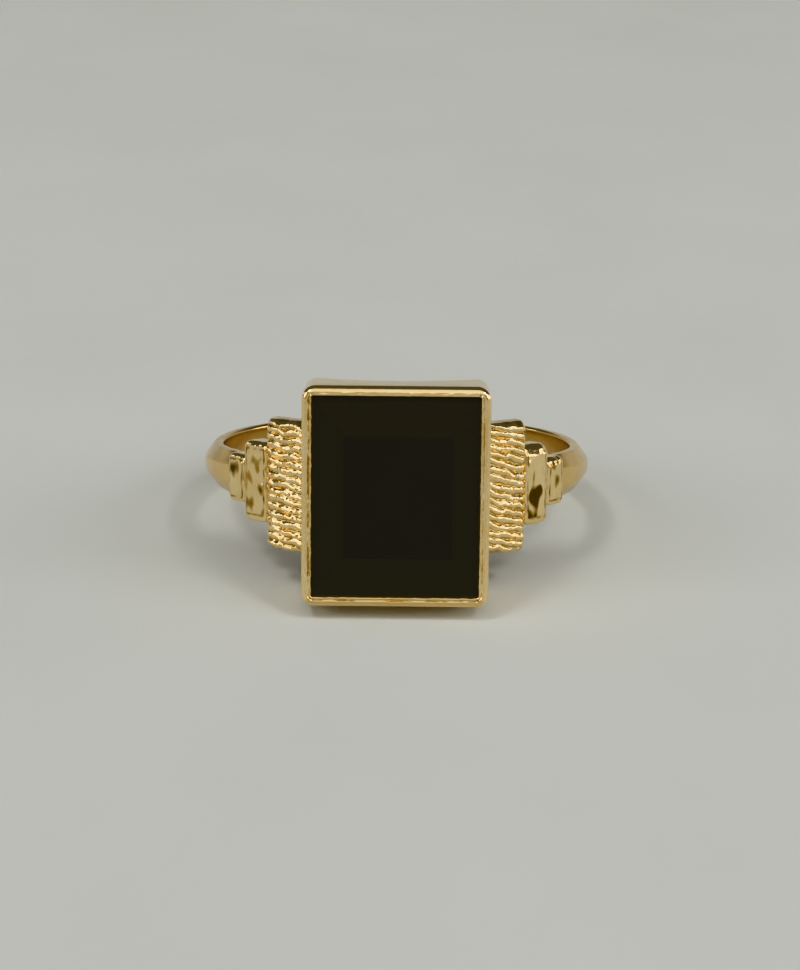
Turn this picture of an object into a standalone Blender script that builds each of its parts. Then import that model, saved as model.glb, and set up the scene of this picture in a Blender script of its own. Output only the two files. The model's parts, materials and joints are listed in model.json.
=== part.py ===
"""A signet ring with a rectangular onyx, lying on its side as it is put down on a table.

The ring is modelled in its own frame, which the empty ring_frame then lays down:
X runs across the head, Y along the finger, and Z out of the hoop's centre through the stone.
"""

import math

import bmesh
import bpy
import numpy as np
from mathutils import Matrix

MM = 0.001

# The hoop, round the finger's axis (Y)
FINGER_RADIUS = 8.5 * MM
SHANK_THICKNESS = 0.95 * MM
SHANK_WIDTH_BACK = 1.84 * MM
SHANK_WIDTH_SIDE = 1.80 * MM
SHANK_WIDTH_END = 2.14 * MM
SHANK_END_ANGLE = math.radians(56.1)  # from the stone, on each side
SHANK_INNER_ROUNDING = 0.18  # of the thickness
SHANK_SLOPE_START = 0.36  # of the thickness, where its sides give way to the slopes
SHANK_CROWN_END = 0.42 * MM  # half the width of the flat between the slopes, beside the bars
SHANK_CROWN_BACK = 0.15 * MM
SHANK_CROWN_ANGLE = math.radians(84)  # from the stone, where that flat has narrowed
SHANK_CROWN_SOFTNESS = 0.10
SHANK_EDGE_ROUNDING = 0.10 * MM

# The head
BEZEL_HALF_X = 4.25 * MM
BEZEL_HALF_Y = 5.04 * MM
BEZEL_CORNER = 0.60 * MM
BEZEL_WALL = 0.23 * MM
BEZEL_INNER_CORNER = 0.14 * MM
LEAST_CORNER = 0.1 * MM
LIP_HEIGHT = 10.90 * MM  # above the hoop's centre
LIP_THICKNESS = 0.14 * MM
LIP_REACH = 0.48 * MM  # from the wall's outer face inwards, over the stone
LIP_ROUNDING = 0.15 * MM
HEAD_BOTTOM = 6.0 * MM  # before the finger's curve is cut
HEAD_CLEARANCE = 0.06 * MM  # from the finger to the underside of the head
PLATE_THICKNESS = 0.42 * MM
PLATE_HOLE_HALF_X = 2.1 * MM
PLATE_HOLE_HALF_Y = 2.7 * MM
PLATE_HOLE_CORNER = 0.5 * MM
LEDGE_WIDTH = 0.50 * MM

# The stone
STONE_HALF_X = 4.00 * MM
STONE_HALF_Y = 4.77 * MM
STONE_BASE = 9.50 * MM
STONE_GIRDLE = 10.66 * MM
STONE_TABLE = 11.00 * MM
TABLE_HALF_X = 2.50 * MM
TABLE_HALF_Y = 2.78 * MM
STONE_CORNER = 0.12 * MM
TABLE_CORNER = 0.02 * MM
STONE_BASE_BEVEL = 0.15 * MM

# The stepped shoulders: the bars lie on a plate bent round the finger
PLATE_RADIUS = 9.12 * MM
STEP_TOP_RADIUS = 9.62 * MM
STEP_ANGLES = (math.radians(39.1), math.radians(48.2), SHANK_END_ANGLE)  # where each bar ends
RIBBED_HALF_LENGTH = 3.06 * MM
MIDDLE_HALF_LENGTH = 1.90 * MM
OUTER_HALF_LENGTH = 1.15 * MM
RIB_COUNT = 17
RIB_DEPTH = 0.13 * MM
BAR_SIDE_SHARE = 0.45  # of a bar's height, which its sides stand upright
BAR_END_FALL = 0.25 * MM  # of a smooth bar's top, at its ends
SHOULDER_MARGIN = 0.05 * MM  # the plate's ends stop this far inside the bars' ends

# Soldered neighbours keep this much apart
GAP = 0.02 * MM

SHANK_STATIONS = 72
SECTION_STEPS = 14
CORNER_STEPS = 4
SEAT_STEPS = 4
PLATE_STEPS = 6
BAR_STATIONS = 20
CUTTER_SEGMENTS = 180

GOLD = (0.86, 0.63, 0.30, 1.0)
ONYX = (0.012, 0.011, 0.009, 1.0)


def clear_scene():
    for thing in list(bpy.data.objects):
        bpy.data.objects.remove(thing, do_unlink=True)


def material(name, colour, metallic, roughness):
    made = bpy.data.materials.new(name)
    made.use_nodes = True
    shader = made.node_tree.nodes["Principled BSDF"]
    shader.inputs["Base Color"].default_value = colour
    shader.inputs["Metallic"].default_value = metallic
    shader.inputs["Roughness"].default_value = roughness
    return made


def collection(name):
    made = bpy.data.collections.new(name)
    bpy.context.scene.collection.children.link(made)
    return made


def add_piece(name, mesh, finish, parent):
    """One sub-part of the ring, held by the frame that lays the ring down."""
    piece = bpy.data.objects.new(name, mesh)
    piece.data.materials.append(finish)
    piece.parent = parent
    bpy.data.collections["signet_ring"].objects.link(piece)
    return piece


def on_circle(radius, x):
    """Height above the hoop's centre of a circle round the finger, at x across it."""
    return math.sqrt(radius**2 - x**2)


def loft(name, rings, closed_ends=True, closed_loop=False):
    """A closed skin through rings that all have the same number of points."""
    bm = bmesh.new()
    rows = [[bm.verts.new(point) for point in ring] for ring in rings]
    count = len(rings[0])
    following = rows[1:] + rows[:1] if closed_loop else rows[1:]
    for row, after in zip(rows, following):
        for i in range(count):
            j = (i + 1) % count
            bm.faces.new((row[i], row[j], after[j], after[i]))
    if closed_ends and not closed_loop:
        bm.faces.new(rows[0][::-1])
        bm.faces.new(rows[-1])
    bmesh.ops.recalc_face_normals(bm, faces=bm.faces)
    mesh = bpy.data.meshes.new(name)
    bm.to_mesh(mesh)
    bm.free()
    if sum(face.area * face.normal.dot(face.center - mesh.vertices[0].co) for face in mesh.polygons) < 0:
        mesh.flip_normals()
    mesh.shade_smooth()
    mesh.set_sharp_from_angle(angle=math.radians(35))
    return mesh


def rounded_fall(distance, radius):
    """How far a quarter round has fallen at this distance in from its edge."""
    if distance >= radius:
        return 0.0
    return radius - math.sqrt(max(0.0, radius**2 - (radius - distance) ** 2))


def band_section(half_width, crown, inner, thickness):
    """A section as (along the finger, out from its axis): flat inside, two slopes and a crown outside."""
    points = []
    inner_rounding = SHANK_INNER_ROUNDING * thickness
    points.append((half_width - inner_rounding, inner))
    points.append((half_width, inner + inner_rounding))
    rise = (1 - SHANK_SLOPE_START) * thickness
    for i in range(SECTION_STEPS + 1):
        along = half_width * math.cos(math.pi * i / SECTION_STEPS)
        down = (abs(along) - crown) / (half_width - crown)
        down = (down + math.hypot(down, SHANK_CROWN_SOFTNESS)) / 2
        edge = rounded_fall(half_width - abs(along), SHANK_EDGE_ROUNDING)
        points.append((along, inner + thickness - rise * down - edge))
    points.append((-half_width, inner + inner_rounding))
    points.append((-half_width + inner_rounding, inner))
    return points


def band_crown(angle):
    """Half the width of the flat between the shank's slopes, at an angle from the stone."""
    share = min(1.0, (angle - SHANK_END_ANGLE) / (SHANK_CROWN_ANGLE - SHANK_END_ANGLE))
    return SHANK_CROWN_END + (SHANK_CROWN_BACK - SHANK_CROWN_END) * share


def band_half_width(angle):
    """Half the shank's width at an angle from the stone: wide at its ends, narrow at the back."""
    side = math.pi / 2
    if angle < side:
        share = (angle - SHANK_END_ANGLE) / (side - SHANK_END_ANGLE)
        ends = (SHANK_WIDTH_END, SHANK_WIDTH_SIDE)
    else:
        share = (angle - side) / (math.pi - side)
        ends = (SHANK_WIDTH_SIDE, SHANK_WIDTH_BACK)
    ease = share * share * (3 - 2 * share)
    return 0.5 * (ends[0] + (ends[1] - ends[0]) * ease)


def shank():
    rings = []
    for i in range(SHANK_STATIONS + 1):
        angle = SHANK_END_ANGLE + (2 * math.pi - 2 * SHANK_END_ANGLE) * i / SHANK_STATIONS
        from_stone = min(angle, 2 * math.pi - angle)
        half_width = band_half_width(from_stone)
        section = band_section(half_width, band_crown(from_stone), FINGER_RADIUS, SHANK_THICKNESS)
        rings.append([(out * math.sin(angle), along, out * math.cos(angle)) for along, out in section])
    return loft("shank", rings)


def outline(half_x, half_y, corner):
    """A rectangle with rounded corners, with the same number of points for any size."""
    points = []
    for k, (sx, sy) in enumerate(((1, 1), (-1, 1), (-1, -1), (1, -1))):
        for i in range(CORNER_STEPS + 1):
            turn = math.pi / 2 * (k + i / CORNER_STEPS)
            x = sx * (half_x - corner) + corner * math.cos(turn)
            y = sy * (half_y - corner) + corner * math.sin(turn)
            points.append((x, y))
    return points


def inset_outline(inset):
    """The bezel's outer outline moved inwards: nearly square once it is inside the wall."""
    within = inset >= BEZEL_WALL
    corner = BEZEL_INNER_CORNER + BEZEL_WALL - inset if within else BEZEL_CORNER - inset
    return outline(BEZEL_HALF_X - inset, BEZEL_HALF_Y - inset, max(corner, LEAST_CORNER))


def flat_ring(points, height):
    return [(x, y, height) for x, y in points]


def bezel_wall():
    """The collet's wall and lip, its lower edge left long for the finger's curve to be cut in it."""
    edge = LIP_ROUNDING
    wall_top = STONE_GIRDLE + GAP
    lip_slope = (STONE_TABLE - STONE_GIRDLE) / (STONE_HALF_X - TABLE_HALF_X)
    lip_under = wall_top + lip_slope * (LIP_REACH - BEZEL_WALL)
    rings = [
        flat_ring(inset_outline(BEZEL_WALL), HEAD_BOTTOM),
        flat_ring(inset_outline(0), HEAD_BOTTOM),
        flat_ring(inset_outline(0), LIP_HEIGHT - 2 * edge),
        flat_ring(inset_outline(0.25 * edge), LIP_HEIGHT - edge),
        flat_ring(inset_outline(0.8 * edge), LIP_HEIGHT - 0.35 * edge),
        flat_ring(inset_outline(1.7 * edge), LIP_HEIGHT),
        flat_ring(inset_outline(LIP_REACH - 0.5 * edge), lip_under + 0.9 * LIP_THICKNESS),
        flat_ring(inset_outline(LIP_REACH), lip_under + 0.4 * LIP_THICKNESS),
        flat_ring(inset_outline(LIP_REACH), lip_under),
        flat_ring(inset_outline(BEZEL_WALL), wall_top),
    ]
    return loft("bezel_wall", rings, closed_loop=True)


def bearing_ledge():
    outside = inset_outline(BEZEL_WALL + GAP)
    inside = inset_outline(BEZEL_WALL + GAP + LEDGE_WIDTH)
    top = STONE_BASE - GAP
    rings = [
        flat_ring(inside, HEAD_BOTTOM),
        flat_ring(outside, HEAD_BOTTOM),
        flat_ring(outside, top),
        flat_ring(inside, top),
    ]
    return loft("bearing_ledge", rings, closed_loop=True)


def back_plate():
    """A block that fills the head, for the finger's curve to be cut in both its faces."""
    outside = inset_outline(BEZEL_WALL + GAP)
    return loft("back_plate", [flat_ring(outside, HEAD_BOTTOM), flat_ring(outside, STONE_BASE)])


def stone():
    girdle = outline(STONE_HALF_X, STONE_HALF_Y, STONE_CORNER)
    table = outline(TABLE_HALF_X, TABLE_HALF_Y, TABLE_CORNER)
    base = outline(STONE_HALF_X - STONE_BASE_BEVEL, STONE_HALF_Y - STONE_BASE_BEVEL, STONE_CORNER)
    rings = [
        flat_ring(base, STONE_BASE),
        flat_ring(girdle, STONE_BASE + STONE_BASE_BEVEL),
        flat_ring(girdle, STONE_GIRDLE),
        flat_ring(table, STONE_TABLE),
    ]
    return loft("onyx_stone", rings)


def cutter(name, mesh, parent):
    helper = bpy.data.objects.new(name, mesh)
    helper.parent = parent
    helper.hide_render = True
    helper.display_type = "WIRE"
    bpy.data.collections["cutters"].objects.link(helper)
    return helper


def round_cutter(name, radius, parent):
    """A cylinder along the finger, longer than the head."""
    bm = bmesh.new()
    along_finger = Matrix.Rotation(math.pi / 2, 4, "X")
    length = 4 * BEZEL_HALF_Y
    bmesh.ops.create_cone(
        bm,
        cap_ends=True,
        segments=CUTTER_SEGMENTS,
        radius1=radius,
        radius2=radius,
        depth=length,
        matrix=along_finger,
    )
    mesh = bpy.data.meshes.new(name)
    bm.to_mesh(mesh)
    bm.free()
    return cutter(name, mesh, parent)


def light_hole_cutter(parent):
    hole = outline(PLATE_HOLE_HALF_X, PLATE_HOLE_HALF_Y, PLATE_HOLE_CORNER)
    mesh = loft("light_hole_cutter", [flat_ring(hole, HEAD_BOTTOM), flat_ring(hole, STONE_TABLE)])
    return cutter("light_hole_cutter", mesh, parent)


def boolean(piece, helper, operation="DIFFERENCE"):
    step = piece.modifiers.new(helper.name, "BOOLEAN")
    step.operation = operation
    step.solver = "EXACT"
    step.object = helper


def bent_section(angle, half_length, inner, outer):
    """A rectangle across the hoop at one angle."""
    corners = ((half_length, inner), (half_length, outer), (-half_length, outer), (-half_length, inner))
    return [(out * math.sin(angle), along, out * math.cos(angle)) for along, out in corners]


def shoulder():
    """A plate bent round the finger, from the bezel to the shank, narrower under each bar in turn."""
    margin = SHOULDER_MARGIN
    half_gap = 0.5 * GAP / PLATE_RADIUS
    at_bezel = BEZEL_HALF_X + GAP
    first = [
        (at_bezel, along, on_circle(radius, at_bezel))
        for along, radius in (
            (RIBBED_HALF_LENGTH - margin, FINGER_RADIUS),
            (RIBBED_HALF_LENGTH - margin, PLATE_RADIUS),
            (margin - RIBBED_HALF_LENGTH, PLATE_RADIUS),
            (margin - RIBBED_HALF_LENGTH, FINGER_RADIUS),
        )
    ]
    rings = [first]
    start = math.asin(at_bezel / FINGER_RADIUS)
    lengths = (RIBBED_HALF_LENGTH, MIDDLE_HALF_LENGTH, OUTER_HALF_LENGTH)
    for half, stop in zip(lengths, STEP_ANGLES):
        for i in range(1, PLATE_STEPS + 1):
            angle = start + (stop - half_gap - start) * i / PLATE_STEPS
            rings.append(bent_section(angle, half - margin, FINGER_RADIUS, PLATE_RADIUS))
        start = stop
    return loft("shoulder", rings)


def bar_section(step, drop=0.0, count=10):
    """A bar's section as (across, up): seated on the plate, domed on top, its top lowered by drop."""
    seat = PLATE_RADIUS + GAP
    crown = STEP_TOP_RADIUS - drop
    at_bezel = BEZEL_HALF_X + GAP
    gap_angle = GAP / crown
    low = math.asin(at_bezel / seat) if step == 0 else STEP_ANGLES[step - 1]
    high = STEP_ANGLES[step] - gap_angle
    under = [high + (low - high) * i / SEAT_STEPS for i in range(SEAT_STEPS + 1)]
    points = [(seat * math.sin(angle), seat * math.cos(angle)) for angle in under]
    for i in range(count + 1):
        share = i / count
        fullness = 1 - abs(2 * share - 1) ** 8
        radius = seat + (crown - seat) * (BAR_SIDE_SHARE + (1 - BAR_SIDE_SHARE) * fullness)
        angle = low + (high - low) * share
        points.append((radius * math.sin(angle), radius * math.cos(angle)))
    return points


def ribbed_bar():
    """A bar with rounded ridges across it, one after the other along the finger."""
    pitch = 2 * RIBBED_HALF_LENGTH / RIB_COUNT
    stations = [
        (-RIBBED_HALF_LENGTH + (k + share) * pitch, drop)
        for k in range(RIB_COUNT)
        for share, drop in ((0.0, 1.0), (0.25, 0.3), (0.5, 0.0), (0.75, 0.3))
    ]
    stations.append((RIBBED_HALF_LENGTH, 1.0))
    rings = [[(x, along, z) for x, z in bar_section(0, RIB_DEPTH * drop)] for along, drop in stations]
    return loft("ribbed_bar", rings)


def smooth_bar(name, step, half_length):
    """A pillow-shaped bar: its top falls away towards both ends."""
    rings = []
    for i in range(BAR_STATIONS + 1):
        along = -half_length * math.cos(math.pi * i / BAR_STATIONS)
        drop = BAR_END_FALL * abs(along / half_length) ** 8
        rings.append([(x, along, z) for x, z in bar_section(step, drop)])
    return loft(name, rings)


def world_points(pieces, graph):
    found = []
    for piece in pieces:
        shape = piece.evaluated_get(graph)
        mesh = shape.to_mesh()
        found += [shape.matrix_world @ vertex.co for vertex in mesh.vertices]
        shape.to_mesh_clear()
    return np.array(found)


def resting_lean(hoop, head):
    """The tilt at which the hoop's edge and the head's lower corners touch the table together."""
    low, high = 0.0, math.pi / 4
    for _ in range(50):
        lean = (low + high) / 2
        up = np.array([0, math.cos(lean), math.sin(lean)])
        if (head @ up).min() < (hoop @ up).min():
            low = lean
        else:
            high = lean
    return lean


def build():
    clear_scene()
    collection("signet_ring")
    collection("cutters")
    ring_frame = bpy.data.objects.new("ring_frame", None)
    bpy.data.collections["signet_ring"].objects.link(ring_frame)

    polished = material("polished_gold", GOLD, 1.0, 0.16)
    cut_gold = material("ribbed_gold", GOLD, 1.0, 0.28)
    inner_gold = material("inner_gold", GOLD, 1.0, 0.32)
    black_stone = material("onyx", ONYX, 0.0, 0.08)

    hoop = add_piece("shank", shank(), polished, ring_frame)
    wall = add_piece("bezel_wall", bezel_wall(), polished, ring_frame)
    ledge = add_piece("bearing_ledge", bearing_ledge(), inner_gold, ring_frame)
    plate = add_piece("back_plate", back_plate(), inner_gold, ring_frame)
    add_piece("onyx_stone", stone(), black_stone, ring_frame)

    plate_inside = FINGER_RADIUS + HEAD_CLEARANCE
    plate_outside = plate_inside + PLATE_THICKNESS
    finger = round_cutter("finger_cutter", plate_inside, ring_frame)
    boolean(wall, finger)
    boolean(plate, round_cutter("plate_cutter", plate_outside, ring_frame), "INTERSECT")
    boolean(plate, finger)
    boolean(plate, light_hole_cutter(ring_frame))
    boolean(ledge, round_cutter("ledge_cutter", plate_outside + GAP, ring_frame))

    shapes = (
        ("shoulder", shoulder(), polished),
        ("ribbed_bar", ribbed_bar(), cut_gold),
        ("middle_bar", smooth_bar("middle_bar", 1, MIDDLE_HALF_LENGTH), polished),
        ("outer_bar", smooth_bar("outer_bar", 2, OUTER_HALF_LENGTH), polished),
    )
    for side, turn in (("right", 0.0), ("left", math.pi)):
        for name, mesh, finish in shapes:
            piece = add_piece(f"{name}_{side}", mesh.copy(), finish, ring_frame)
            piece.rotation_euler.z = turn

    bpy.context.view_layer.update()
    graph = bpy.context.evaluated_depsgraph_get()
    lean = resting_lean(world_points([hoop], graph), world_points([wall], graph))
    ring_frame.rotation_euler.x = math.pi / 2 - lean
    bpy.context.view_layer.update()
    graph = bpy.context.evaluated_depsgraph_get()
    pieces = [thing for thing in bpy.data.collections["signet_ring"].objects if thing.type == "MESH"]
    points = world_points(pieces, graph)
    middle = (points.min(axis=0) + points.max(axis=0)) / 2
    ring_frame.location = (-middle[0], -middle[1], -points[:, 2].min())


build()
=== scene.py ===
"""The looks of the signet ring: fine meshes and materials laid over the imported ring.

Sizes are in millimetres in the ring's own frame, and angles in radians, unless a comment says otherwise.
"""

import json
import math

import bpy
import numpy as np
from mathutils import Matrix, Vector, noise


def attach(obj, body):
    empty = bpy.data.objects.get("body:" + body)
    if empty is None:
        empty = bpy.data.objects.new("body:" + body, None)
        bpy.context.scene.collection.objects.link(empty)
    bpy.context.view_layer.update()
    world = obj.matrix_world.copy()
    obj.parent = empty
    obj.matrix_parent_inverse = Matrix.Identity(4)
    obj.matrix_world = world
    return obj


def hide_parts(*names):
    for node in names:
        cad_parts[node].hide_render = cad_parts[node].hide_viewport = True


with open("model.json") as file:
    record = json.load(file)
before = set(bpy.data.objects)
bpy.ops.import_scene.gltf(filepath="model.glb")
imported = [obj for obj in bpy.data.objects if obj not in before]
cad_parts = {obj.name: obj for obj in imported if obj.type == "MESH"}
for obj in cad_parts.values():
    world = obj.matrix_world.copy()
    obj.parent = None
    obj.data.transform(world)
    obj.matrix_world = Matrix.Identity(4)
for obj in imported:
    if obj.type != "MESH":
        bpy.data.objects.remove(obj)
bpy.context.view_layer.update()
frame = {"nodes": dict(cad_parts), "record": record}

MM = 0.001  # metres
SIDES = {"left": -1, "right": 1}


# ---------------------------------------------------------------- the ring's own frame

def mount(name):
    return next(m for m in frame["record"]["mounts"] if m["name"] == name)


# X runs across the head, Y along the finger, Z from the hoop's centre out through the stone.
CENTRE = Vector(mount("finger_bore")["pos_m"])
ALONG = Vector(mount("finger_bore")["axis"]).normalized()
FACING = Vector(mount("stone_table")["axis"]).normalized()
ACROSS = ALONG.cross(FACING).normalized()
RING = Matrix.Translation(CENTRE) @ Matrix((ACROSS, ALONG, FACING)).transposed().to_4x4()


def ring_points(node):
    """The CAD node's points in the ring's own frame, in millimetres."""
    inverse = np.array(RING.inverted())
    points = np.array([v.co for v in frame["nodes"][node].data.vertices])
    return (points @ inverse[:3, :3].T + inverse[:3, 3]) / MM


def radii(points):
    return np.hypot(points[:, 0], points[:, 2])


def angles(points):
    """Angles round the finger from the stone, in radians, positive towards +X."""
    return np.arctan2(points[:, 0], points[:, 2])


HOOP = ring_points("shank")
FINGER_RADIUS = radii(HOOP).min()
SHANK_RADIUS = radii(HOOP).max()
SHANK_END = np.abs(angles(HOOP)).min()

COLLET = ring_points("bezel_wall")
HEAD_X, HEAD_Y, LIP_TOP = COLLET.max(axis=0)
HEAD_UNDER = radii(COLLET).min()

STONE = ring_points("onyx_stone")
STONE_X, STONE_Y, STONE_TOP = STONE.max(axis=0)
STONE_BASE = STONE[:, 2].min()


# ---------------------------------------------------------------- curves and patterns

def clamped(value, low=0.0, high=1.0):
    return max(low, min(high, value))


def quarter_turn(steps):
    """Angles in radians from 0 to a right angle."""
    return [math.pi / 2 * i / steps for i in range(steps + 1)]


def round_over(distance, radius):
    """1 at an edge, falling to 0 at radius away, as a quarter circle does."""
    if distance >= radius:
        return 0.0
    return 1 - math.sqrt(max(0.0, 1 - (1 - distance / radius) ** 2))


def bent(angle, along, radius):
    return (radius * math.sin(angle), along, radius * math.cos(angle))


SEED_SHIFT = (17.3, -9.1, 5.7)


def smooth_noise(x, y, z, seed):
    """Smooth noise from about -1 to 1, taken from another place for each seed."""
    return noise.noise(Vector([value + shift * seed for value, shift in zip((x, y, z), SEED_SHIFT)]))


def pattern(layers, x, y, z=0.0, seed=0):
    """Smooth noises added up, each given as its strength, its scales in x, y and z, and its seed."""
    total = 0.0
    for strength, scale_x, scale_y, scale_z, own_seed in layers:
        total += strength * smooth_noise(x * scale_x, y * scale_y, z * scale_z, seed + own_seed)
    return total


# ---------------------------------------------------------------- mesh making

def make_object(name, points, faces, smooth_below):
    """A mesh object with its faces outwards, smooth where they meet at less than smooth_below degrees."""
    mesh = bpy.data.meshes.new(name)
    mesh.from_pydata([RING @ (Vector(p) * MM) for p in points], [], faces)
    mesh.validate()
    mesh.update()
    volume = sum(f.area * f.normal.dot(f.center) for f in mesh.polygons)
    if volume < 0:
        mesh.flip_normals()
    mesh.shade_smooth()
    mesh.set_sharp_from_angle(angle=math.radians(smooth_below))
    made = bpy.data.objects.new(name, mesh)
    bpy.context.scene.collection.objects.link(made)
    return made


def mark(made, name, values):
    """Keeps a value on each point of a mesh for its material to read, 0 on the points left over."""
    values = list(values) + [0.0] * (len(made.data.vertices) - len(values))
    made.data.attributes.new(name, "FLOAT", "POINT").data.foreach_set("value", np.array(values, np.float32))


def band_faces(rows, columns, close_rows=False):
    """Quads between rows of points, each row a closed loop of columns points."""
    faces = []
    for r in range(rows if close_rows else rows - 1):
        after = (r + 1) % rows
        for c in range(columns):
            beside = (c + 1) % columns
            here, there = r * columns, after * columns
            faces.append((here + c, here + beside, there + beside, there + c))
    return faces


def fan(points, rim, centre):
    """Triangles that close a rim from a new point at its centre."""
    points.append(tuple(centre))
    hub = len(points) - 1
    return [(rim[i], rim[(i + 1) % len(rim)], hub) for i in range(len(rim))]


def loops_object(name, loops, close_rows=False, smooth_below=40):
    """A closed skin through loops of equal length, capped at both ends unless it closes on itself."""
    columns = len(loops[0])
    points = [p for loop in loops for p in loop]
    faces = band_faces(len(loops), columns, close_rows)
    if not close_rows:
        first = list(range(columns))
        last = list(range(len(points) - columns, len(points)))
        for rim in (first[::-1], last):
            faces += fan(points, rim, np.mean([points[i] for i in rim], axis=0))
    return make_object(name, points, faces, smooth_below)


def sheet_faces(rows, columns):
    """Quads of an open sheet with rows by columns of them."""
    width = columns + 1
    return [
        (r * width + c, r * width + c + 1, (r + 1) * width + c + 1, (r + 1) * width + c)
        for r in range(rows)
        for c in range(columns)
    ]


def sheet_rim(rows, columns):
    """The numbers of the points round the edge of such a sheet, in order."""
    width = columns + 1
    rim = list(range(width))
    rim += [r * width + columns for r in range(1, rows + 1)]
    rim += [rows * width + c for c in range(columns - 1, -1, -1)]
    rim += [r * width for r in range(rows - 1, 0, -1)]
    return rim


CORNERS = ((1, 1), (-1, 1), (-1, -1), (1, -1))
CORNER_STEPS = 8


def rounded_loop(half_a, half_b, corner, side_a, side_b):
    """A rounded rectangle, a by b, with side_a and side_b steps along its sides."""
    def on_corner(k, turn):
        sign_a, sign_b = CORNERS[k % len(CORNERS)]
        a = sign_a * (half_a - corner) + corner * math.cos(turn)
        b = sign_b * (half_b - corner) + corner * math.sin(turn)
        return a, b

    points = []
    for k in range(len(CORNERS)):
        for i in range(CORNER_STEPS + 1):
            points.append(on_corner(k, math.pi / 2 * (k + i / CORNER_STEPS)))
        begin = points[-1]
        stop = on_corner(k + 1, math.pi / 2 * (k + 1))
        count = side_b if k % 2 else side_a
        for i in range(1, count):
            t = i / count
            points.append((begin[0] + (stop[0] - begin[0]) * t, begin[1] + (stop[1] - begin[1]) * t))
    return points


# ---------------------------------------------------------------- sections across a band, as (along, out)

def inner_edge(half, rounding, steps):
    """The rounded edge on the finger's side, from the finger outwards."""
    edge = []
    for turn in quarter_turn(steps):
        along = half - rounding * (1 - math.sin(turn))
        edge.append((along, FINGER_RADIUS + rounding * (1 - math.cos(turn))))
    return edge


def mirrored(edge):
    return [(-along, out) for along, out in reversed(edge)]


def straight(half, out, steps):
    """Points from half to minus half, without those two."""
    return [(half * (1 - 2 * i / steps), out) for i in range(1, steps)]


# ---------------------------------------------------------------- the shank

# round the shank from beside the bars to its back, in degrees from the stone: half the width of the
# flat crown, and where the slopes start, as a share of the thickness
CROWN_ANGLES = (56, 84, 108, 140)
CROWN_HALF_WIDTHS = (0.45, 0.24, 0.24, 0.15)
SLOPE_STARTS = (0.47, 0.47, 0.47, 0.34)
CROWN_SOFTNESS = 0.10  # of the slope's width
POLISHED_OFF = 0.014
SHANK_THICKNESS = SHANK_RADIUS - FINGER_RADIUS - POLISHED_OFF
SHANK_INNER_ROUNDING = 0.18 * SHANK_THICKNESS
SHANK_INNER_STEPS = 6
SHANK_EDGE_ROUNDING = 0.10
SHANK_OVERLAP = math.radians(5)  # how far each end runs on under the bars
SHANK_TUCK = 0.22  # taken off half its width at those ends
SHANK_STATIONS = 420
SHANK_CROWN_STEPS = 60
SHANK_FLOOR_STEPS = 8
WIDTH_READINGS = 24
WIDTH_WINDOW = math.radians(3)

# painted shade on all of the shank's inside, and patches of painted dark reflection on its slopes
INSIDE_SHADE = 0.62
INSIDE_DEPTH = 0.05
SLOPE_REFLECTION = 0.35
SLOPE_REFLECTION_PATCHES = ((0.5, 3.1, 1.2, 0, 41),)
SLOPE_FADE = 0.06


def hoop_half_width(angle):
    """Half the shank's width, read from the CAD hoop's own points at that angle."""
    near = np.abs(np.abs(angles(HOOP)) - angle) < WIDTH_WINDOW
    return np.abs(HOOP[near, 1]).max()


def hoop_section(half, flat, slope_start):
    """Flat inside, upright sides, and two slopes up to a flat crown."""
    crest = FINGER_RADIUS + SHANK_THICKNESS
    waist = FINGER_RADIUS + slope_start * SHANK_THICKNESS
    crown = []
    for i in range(SHANK_CROWN_STEPS + 1):
        along = half * math.cos(math.pi * i / SHANK_CROWN_STEPS)
        down = (abs(along) - flat) / (half - flat)
        down = (down + math.hypot(down, CROWN_SOFTNESS)) / 2
        fall = SHANK_EDGE_ROUNDING * round_over(half - abs(along), SHANK_EDGE_ROUNDING)
        crown.append((along, crest - (crest - waist) * down - fall))
    edge = inner_edge(half, SHANK_INNER_ROUNDING, SHANK_INNER_STEPS)
    floor = straight(SHANK_INNER_ROUNDING - half, FINGER_RADIUS, SHANK_FLOOR_STEPS)
    return edge + crown + mirrored(edge) + floor


def shank_shade_and_reflection(angle, along, out, flat):
    """How much painted shade, all over the inside, and painted dark reflection, in patches on the slopes,
    darken the gold at a point of the shank's section.
    """
    if out < FINGER_RADIUS + INSIDE_DEPTH:
        return INSIDE_SHADE
    # painted dark reflection in patches on the slopes
    slope = clamped((abs(along) - flat) / SLOPE_FADE)
    return max(0.0, slope * (SLOPE_REFLECTION + pattern(SLOPE_REFLECTION_PATCHES, angle, along)))


def make_shank():
    """The band that goes round behind the finger, from under one outer bar to under the other."""
    start = SHANK_END - SHANK_OVERLAP
    reading_angles = np.linspace(SHANK_END, math.pi, WIDTH_READINGS)
    half_widths = [hoop_half_width(angle) for angle in reading_angles]
    loops, marks = [], []
    for i in range(SHANK_STATIONS + 1):
        angle = start + (2 * math.pi - 2 * start) * i / SHANK_STATIONS
        from_stone = min(angle, 2 * math.pi - angle)
        half = float(np.interp(from_stone, reading_angles, half_widths))
        half -= SHANK_TUCK * max(0.0, (SHANK_END - from_stone) / SHANK_OVERLAP)
        turned = math.degrees(from_stone)
        flat = float(np.interp(turned, CROWN_ANGLES, CROWN_HALF_WIDTHS))
        slope_start = float(np.interp(turned, CROWN_ANGLES, SLOPE_STARTS))
        section = hoop_section(half, flat, slope_start)
        loops.append([bent(angle, along, out) for along, out in section])
        # painted shade inside the hoop, and painted dark reflection on its slopes
        marks += [shank_shade_and_reflection(angle, along, out, flat) for along, out in section]
    made = loops_object("shank_band", loops, smooth_below=30)
    mark(made, "stain_and_shade", marks)
    return made


# ---------------------------------------------------------------- the plates under the bars

def bar_facts(node):
    """The least and greatest angle of a CAD bar, half its length along the finger, and its top radius."""
    points = ring_points(node)
    around = angles(points)
    return around.min(), around.max(), np.abs(points[:, 1]).max(), radii(points).max()


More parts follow.
